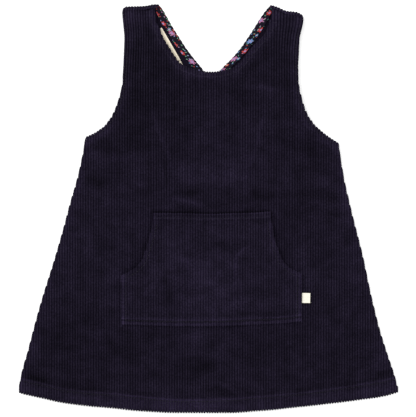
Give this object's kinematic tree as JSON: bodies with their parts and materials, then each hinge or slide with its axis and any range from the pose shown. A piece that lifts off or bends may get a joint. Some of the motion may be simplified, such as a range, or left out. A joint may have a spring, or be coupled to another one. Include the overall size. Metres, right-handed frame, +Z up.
{
  "type": "pinafore dress",
  "caption": "Sleeveless A-line corduroy pinafore laid flat, with a scooped neck, crossing back straps faced in floral cotton, and a kangaroo pocket.",
  "frame": {"origin": "the middle of the bounding box, on the surface that the dress lies on", "axes": "+X to the viewer's right across the dress, +Y from the hem to the shoulders, +Z up from the surface through the back and then the front"},
  "size_m": [0.4604, 0.4959, 0.0083],
  "materials": {
    "corduroy": "dark navy cotton corduroy, eight wales to the inch, matt cut pile",
    "floral_facing": "plain-woven cotton with small red, pink, blue and green flowers on dark navy",
    "label": "cream woven tape, left blank"
  },
  "bodies": {
    "root": {"front": "corduroy", "back": "corduroy", "pocket": "corduroy", "strap_left": "corduroy", "strap_right": "corduroy", "facing_left": "floral_facing", "facing_right": "floral_facing", "neck_label": "label", "care_label": "label", "side_tag": "label"}
  },
  "joints": []
}
